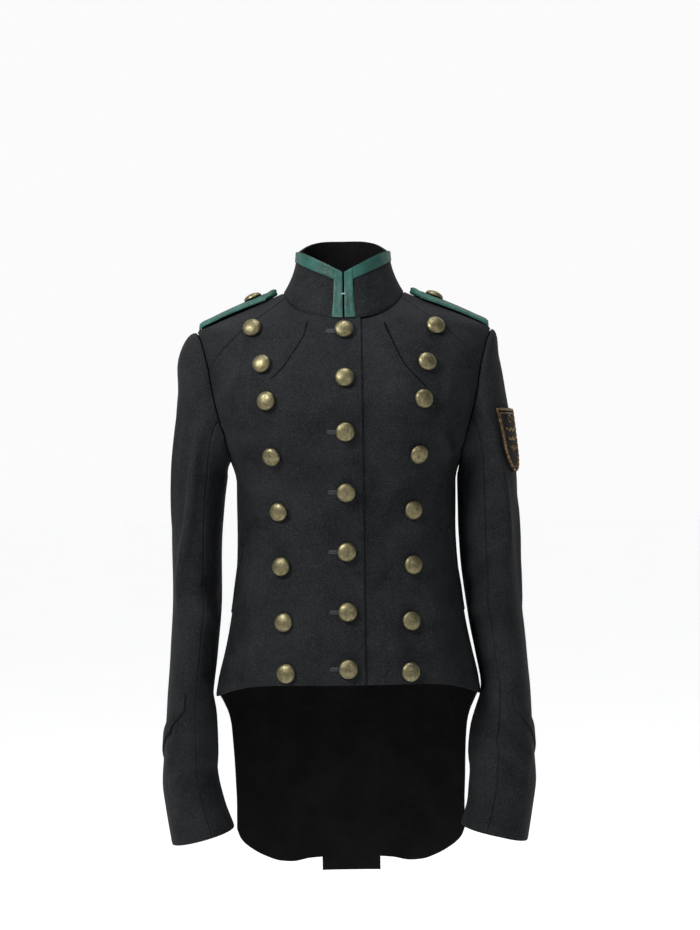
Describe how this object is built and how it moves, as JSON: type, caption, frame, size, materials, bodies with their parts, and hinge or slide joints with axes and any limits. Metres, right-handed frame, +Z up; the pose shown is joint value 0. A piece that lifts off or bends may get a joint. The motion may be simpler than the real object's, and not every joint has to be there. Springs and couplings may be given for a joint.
{
  "type": "military style tailcoat",
  "caption": "Hollow worn military style tailcoat with stand collar, epaulettes, rows of domed buttons and a long back tail.",
  "frame": {"origin": "on the mid-plane, level with the points where the collar meets the shoulder ridge", "axes": "+Z up to the collar, -Y out of the front, +X to the wearer's left"},
  "size_m": [0.4642, 0.258, 0.8129],
  "materials": {
    "wool": "matte",
    "ribbon": "satin",
    "brass": "satin",
    "steel": "satin",
    "bullion": "satin"
  },
  "bodies": {
    "root": {"front_right": "wool", "front_left": "wool", "yoke_right": "wool", "yoke_left": "wool", "back_centre": "wool", "side_back_right": "wool", "side_back_left": "wool", "upper_sleeve_right": "wool", "upper_sleeve_left": "wool", "under_sleeve_right": "wool", "under_sleeve_left": "wool", "collar": "wool", "collar_ribbon_top": "ribbon", "collar_ribbon_right": "ribbon", "collar_ribbon_left": "ribbon", "collar_hook": "steel", "epaulette_right": "wool", "epaulette_left": "wool", "epaulette_ribbon_right": "ribbon", "epaulette_ribbon_left": "ribbon", "pocket_welt_right": "wool", "pocket_welt_left": "wool", "forearm_welt_right": "wool", "forearm_welt_left": "wool", "patch": "wool", "patch_border": "bullion", "button_centre_1": "brass", "button_centre_2": "brass", "button_centre_3": "brass", "button_centre_4": "brass", "button_centre_5": "brass", "button_centre_6": "brass", "button_centre_7": "brass", "button_right_1": "brass", "button_right_2": "brass", "button_right_3": "brass", "button_right_4": "brass", "button_right_5": "brass", "button_right_6": "brass", "button_right_7": "brass", "button_right_8": "brass", "button_left_1": "brass", "button_left_2": "brass", "button_left_3": "brass", "button_left_4": "brass", "button_left_5": "brass", "button_left_6": "brass", "button_left_7": "brass", "button_left_8": "brass", "button_epaulette_right": "brass", "button_epaulette_left": "brass"}
  },
  "joints": []
}
